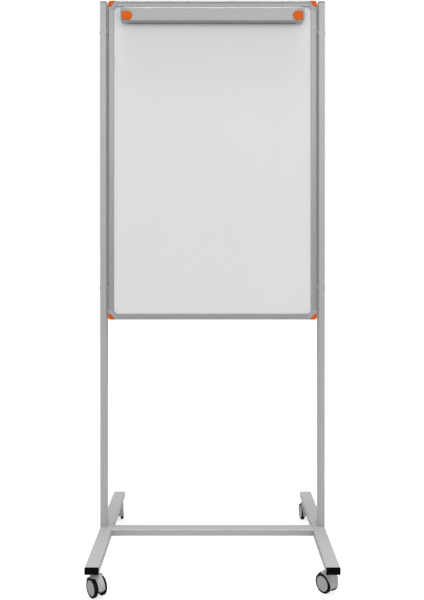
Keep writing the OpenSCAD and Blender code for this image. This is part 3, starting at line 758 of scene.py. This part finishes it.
def add_plugs():
    """Plugs over the bolt holes: those in the side faces look outwards, and the rest look down."""
    shape = bmesh.new()
    for low, high in solids("access_plugs"):
        centre = (low + high) / 2
        sideways = high.x - low.x < high.z - low.z
        if sideways:
            outwards = Vector((math.copysign(1, centre.x), 0, 0))
            face = high.x if centre.x > 0 else low.x
            place = facing(outwards, (face, centre.y, centre.z))
        else:
            place = facing((0, 0, -1), (centre.x, centre.y, low.z), up=(0, 1, 0))
        lathe(shape, [
            (PLUG_STEM_R, -PLUG_STEM_H - PLUG_RIM_H),
            (PLUG_STEM_R, -PLUG_RIM_H),
            (PLUG_RIM_R, -PLUG_RIM_H),
            (PLUG_RIM_R - 0.05 * MM, -0.45 * MM),
            (PLUG_RIM_R - 0.35 * MM, -0.12 * MM),
            (PLUG_RIM_R - 0.9 * MM, 0),
            (PLUG_RIM_R - 2.0 * MM, -0.02 * MM),
            (PLUG_RIM_R - 2.4 * MM, -0.35 * MM),
            (1.5 * MM, -0.25 * MM),
        ], place, steps=40)
    mesh = make_mesh("bolt_hole_plugs", shape)
    add_piece("bolt_hole_plugs", mesh, BLACK_PLASTIC, "root", ["access_plugs"])


def cross_outline():
    arm, half = CROSS_ARM, CROSS_HALF
    quarter = [(half, half), (half, arm), (-half, arm)]
    points = []
    for turn in range(4):
        cosine, sine = math.cos(math.pi / 2 * turn), math.sin(math.pi / 2 * turn)
        points += [(u * cosine - v * sine, u * sine + v * cosine) for u, v in quarter]
    return points


def add_screws():
    """Pan-head screws with cross recesses in the back of the frame."""
    shape = bmesh.new()
    recesses = bmesh.new()
    for low, high in solids("frame_screws"):
        centre = (low + high) / 2
        place = facing((0, 1, 0), (centre.x, high.y, centre.z))
        lathe(shape, [
            (2 * MM, low.y - high.y),
            (2 * MM, -SCREW_HEAD_H),
            (SCREW_HEAD_R, -SCREW_HEAD_H),
            (SCREW_HEAD_R, -1.1 * MM),
            (SCREW_HEAD_R - 0.3 * MM, -0.5 * MM),
            (SCREW_HEAD_R - 1.0 * MM, -0.12 * MM),
            (SCREW_HEAD_R - 1.7 * MM, 0),
        ], place, steps=32)
        stack(recesses, cross_outline(), [(0.15 * MM, -CROSS_DEPTH), (-0.05 * MM, 0.2 * MM)], place)
    mesh = make_mesh("back_screws", shape)
    screws = add_piece("back_screws", mesh, ZINC_PLATE, "root", ["frame_screws"])
    carve(screws, make_mesh("cross_recesses", recesses))


# ---- castors ----

SKIN_IN_R = 28.5 * MM
SKIN_OUT_R = 30.6 * MM
SKIN_FROM = -6
SKIN_TO = 195
HOOD_HALF_W = 19.5 * MM
HOOD_CORNER_R = 9 * MM
HOOD_FRONT_X = 9 * MM
PANEL_HALF_W = 10.5 * MM
PANEL_CORNER_R = 6 * MM
WEB_HALF_W = 8.3 * MM
WEB_R = 30 * MM
WEB_LOW_R = 13 * MM
HOUSING_R = 9.6 * MM
HOUSING_SPREAD = 3 * MM
HOUSING_EDGE_R = 1.5 * MM
HOUSING_CLEARANCE = 0.4 * MM
HOOD_VOXEL = 0.6 * MM
WHEEL_GAP = 9 * MM


def hood_half_width(x, to_end):
    """Half width of the skin at x from the axle; to_end is the way along it to its trailing end."""
    flat = HOOD_HALF_W - HOOD_CORNER_R
    rear = x + SKIN_OUT_R - HOOD_CORNER_R
    front = x - HOOD_FRONT_X + HOOD_CORNER_R
    past = max(0, -rear, front)
    full = flat + math.sqrt(max(0, HOOD_CORNER_R ** 2 - past ** 2)) if past < HOOD_CORNER_R else 0
    short = max(0, PANEL_CORNER_R - to_end)
    panel = PANEL_HALF_W - PANEL_CORNER_R + math.sqrt(max(0, PANEL_CORNER_R ** 2 - short ** 2))
    return max(full, panel if x > 0 else 0, 2 * MM)


def add_hood_skin(shape, axle):
    """Skin over the wheels, swept about the axle in sections that narrow with the hood's plan."""
    rings = []
    layers = [SKIN_IN_R + (SKIN_OUT_R - SKIN_IN_R) * step / 4 for step in range(5)]
    for degrees in range(SKIN_FROM, SKIN_TO + 1, 3):
        angle = math.radians(degrees)
        to_end = SKIN_OUT_R * math.radians(degrees - SKIN_FROM)
        sides = [(radius, hood_half_width(radius * math.cos(angle), to_end)) for radius in layers]
        section = sides + [(radius, -half) for radius, half in reversed(sides)]
        rings.append([
            axle + Vector((radius * math.cos(angle), across, radius * math.sin(angle)))
            for radius, across in section
        ])
    skin(shape, rings)


def add_hood_web(shape, axle):
    """Web between the wheels: a disc that reaches the skin above and keeps inside the tread below."""
    outline = arc((0, 0), WEB_R, SKIN_FROM + 3, SKIN_TO - 3, 60)
    outline += arc((0, 0), WEB_LOW_R, SKIN_TO, SKIN_FROM + 360, 40)
    place = facing((0, -1, 0), axle)
    stack(shape, outline, slab_levels(-WEB_HALF_W, WEB_HALF_W, 0.8 * MM), place)


def add_hood_housing(shape, axle, top):
    """Raised housing round the stem, spreading down on to the skin."""
    skin_r = (SKIN_IN_R + SKIN_OUT_R) / 2
    rings = []
    for step in range(9):
        rise = step / 8
        spread = HOUSING_SPREAD * (1 - rise) ** 2
        ring = []
        for u, v in circle(1, 40):
            x = spread + (HOUSING_R + spread) * u
            from_axle = min(abs(x - axle.x), skin_r * 0.98)
            foot = axle.z + math.sqrt(skin_r ** 2 - from_axle ** 2)
            ring.append(Vector((x, (HOUSING_R + spread) * v, foot + (top - HOUSING_EDGE_R - foot) * rise)))
        rings.append(ring)
    for away, height in round_edge(top, HOUSING_EDGE_R)[1:]:
        radius = HOUSING_R - away
        rings.append([Vector((radius * u, radius * v, height)) for u, v in circle(1, 40)])
    skin(shape, rings)


def hood_mesh(axle, top):
    """The whole hood, its parts melted into one smooth moulding; z is the swivel axis and x trails."""
    shape = bmesh.new()
    add_hood_skin(shape, axle)
    add_hood_web(shape, axle)
    add_hood_housing(shape, axle, top)
    rough = bpy.data.objects.new("rough_hood", make_mesh("rough_hood", shape))
    bpy.context.scene.collection.objects.link(rough)
    melt = rough.modifiers.new("melt", "REMESH")
    melt.mode = "VOXEL"
    melt.voxel_size = HOOD_VOXEL
    smooth = rough.modifiers.new("smooth", "SMOOTH")
    smooth.factor = 0.5
    smooth.iterations = 5
    thin = rough.modifiers.new("thin", "DECIMATE")
    thin.ratio = 0.3
    mesh = evaluated_mesh(rough)
    bpy.data.objects.remove(rough)
    mesh.name = "castor_hood"
    mesh.shade_smooth()
    return mesh


def tyre_mesh(wheel_r, disc_r, width):
    """Soft tread with round shoulders and two fine grooves; z runs outwards from the inner face."""
    shoulder = 2.4 * MM
    groove = 0.45 * MM
    inner = [(wheel_r - away, height) for away, height in round_edge(0, shoulder, outwards=-1)]
    outer = [(wheel_r - away, height) for away, height in round_edge(width, shoulder)]
    tread = []
    for middle in (width * 0.32, width * 0.68):
        tread += [(wheel_r, middle - groove), (wheel_r - groove, middle - groove / 2)]
        tread += [(wheel_r - groove, middle + groove / 2), (wheel_r, middle + groove)]
    profile = [(disc_r, 0), *inner, *tread, *outer, (disc_r, width)]
    shape = bmesh.new()
    lathe(shape, profile, Matrix(), closed=True, steps=96)
    return make_mesh("castor_tyre", shape)


def disc_mesh(disc_r, axle_r, width):
    """Wheel disc with a raised rim, a shallow dish and a smooth cap over the axle's end."""
    bore = axle_r + 0.05 * MM
    profile = [
        (0.5 * MM, width - 0.25 * MM),
        (bore, width - 0.25 * MM),
        (bore, 0),
        (disc_r - 0.4 * MM, 0),
        (disc_r, 0.4 * MM),
        (disc_r, width - 0.3 * MM),
        (disc_r - 0.1 * MM, width - 0.08 * MM),
        (disc_r - 0.35 * MM, width),
        (disc_r - 1.3 * MM, width),
        (disc_r - 1.6 * MM, width - 0.15 * MM),
        (disc_r - 2.1 * MM, width - 0.85 * MM),
        (disc_r - 3.0 * MM, width - 1.0 * MM),
        (disc_r * 0.62, width - 0.7 * MM),
        (disc_r * 0.42, width - 0.35 * MM),
        (disc_r * 0.22, width - 0.12 * MM),
        (0.5 * MM, width - 0.05 * MM),
    ]
    shape = bmesh.new()
    lathe(shape, profile, Matrix(), steps=96)
    return make_mesh("castor_disc", shape, sharp=50)


def castor_place(castor):
    """The castor's swivel axis on the floor, with x towards its wheels, and its trail."""
    swivel = Vector(JOINTS[castor + "_swivel"]["pos_m"])
    axle = Vector(JOINTS[castor + "_wheel_a_spin"]["pos_m"])
    reach = (axle - swivel).to_2d()
    turn = Matrix.Rotation(math.atan2(reach.y, reach.x), 4, "Z")
    return Matrix.Translation((swivel.x, swivel.y, 0)) @ turn, Vector((reach.length, 0, axle.z))


def add_castors():
    hood_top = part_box(CASTORS[0] + "_hood")[1].z - HOUSING_CLEARANCE
    axle_low, axle_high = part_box(CASTORS[0] + "_axle")
    disc_low, disc_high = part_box(CASTORS[0] + "_disc_a")
    axle_r = (axle_high.z - axle_low.z) / 2
    disc_r = (disc_high.z - disc_low.z) / 2
    axle = castor_place(CASTORS[0])[1]
    hood = hood_mesh(axle, hood_top)
    tyre = tyre_mesh(axle.z, disc_r + 0.05 * MM, HOOD_HALF_W - WHEEL_GAP)
    disc = disc_mesh(disc_r, axle_r, HOOD_HALF_W - WHEEL_GAP - 0.3 * MM)
    for castor in CASTORS:
        place, axle = castor_place(castor)
        cover = placed(hood, place)
        add_piece(castor + "_cover", cover, CASTOR_PLASTIC, castor, [castor + "_hood"])
        for side, letter in ((1, "a"), (-1, "b")):
            wheel = place @ facing((0, side, 0), axle + Vector((0, side * WHEEL_GAP, 0)))
            body = castor + "_wheel_" + letter
            add_piece(castor + "_tread_" + letter, placed(tyre, wheel), TYRE_RUBBER, body,
                      [castor + "_tyre_" + letter])
            add_piece(castor + "_rim_" + letter, placed(disc, wheel), CASTOR_PLASTIC, body,
                      [castor + "_disc_" + letter])


def main():
    add_camera()
    add_lights()
    add_floor(floor_finish())
    finish_kept_nodes()
    add_tube_caps()
    add_corners()
    add_button(-1, "button_left")
    add_button(1, "button_right")
    add_springs()
    add_plugs()
    add_screws()
    add_castors()


main()
